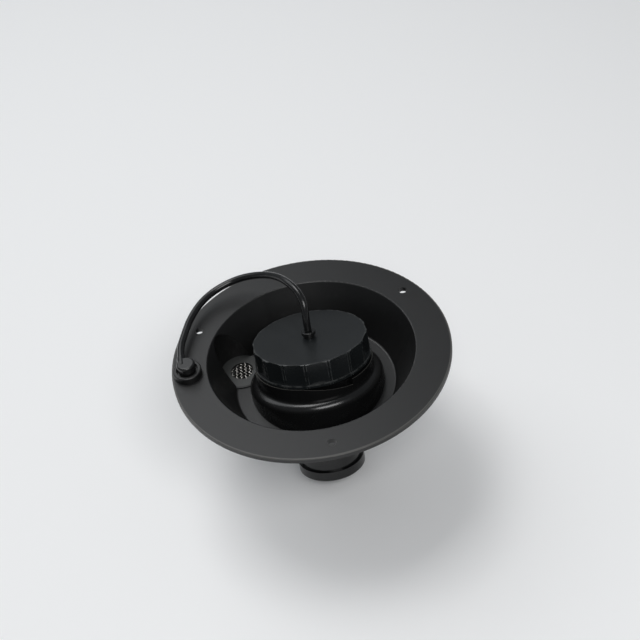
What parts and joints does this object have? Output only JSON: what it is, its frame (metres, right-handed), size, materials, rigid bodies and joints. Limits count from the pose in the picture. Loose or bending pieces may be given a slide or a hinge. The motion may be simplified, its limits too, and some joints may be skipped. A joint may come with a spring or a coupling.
{
  "type": "caravan water filler hatch",
  "caption": "Round recessed water filler hatch for a caravan wall, with a tilted hose spout, a screened vent and a ribbed bayonet cap on a retaining strap.",
  "frame": {"origin": "centre of the flange's flat back face, where it meets the outside of the wall", "axes": "+Z out of the wall, +Y up the wall as the hatch is fitted, +X to the right seen from outside"},
  "size_m": [0.16, 0.16, 0.1147],
  "materials": {
    "body_plastic": "fine satin moulding, black",
    "cap_plastic": "satin to gloss, black",
    "gasket_rubber": "soft matt rubber, black",
    "strap_plastic": "soft satin, black",
    "screen_steel": "fine woven wire"
  },
  "bodies": {
    "hatch": {"hatch_body": "body_plastic", "vent_screen": "screen_steel", "strap_plug": "strap_plastic"},
    "strap_end": {"strap_stud": "strap_plastic", "strap": "strap_plastic"},
    "cap": {"filler_cap": "cap_plastic", "cap_gasket": "gasket_rubber"}
  },
  "joints": [
    {"name": "cap_lift", "type": "slide", "parent": "hatch", "child": "strap_end", "axis": [0, 0.2756, 0.9613], "range_m": [0, 0.035]},
    {"name": "cap_turn", "type": "hinge", "parent": "strap_end", "child": "cap", "pos_m": [0.0009, 0.00815, 0.00304], "axis": [0, 0.2756, 0.9613], "range_deg": [-75, 0]}
  ]
}
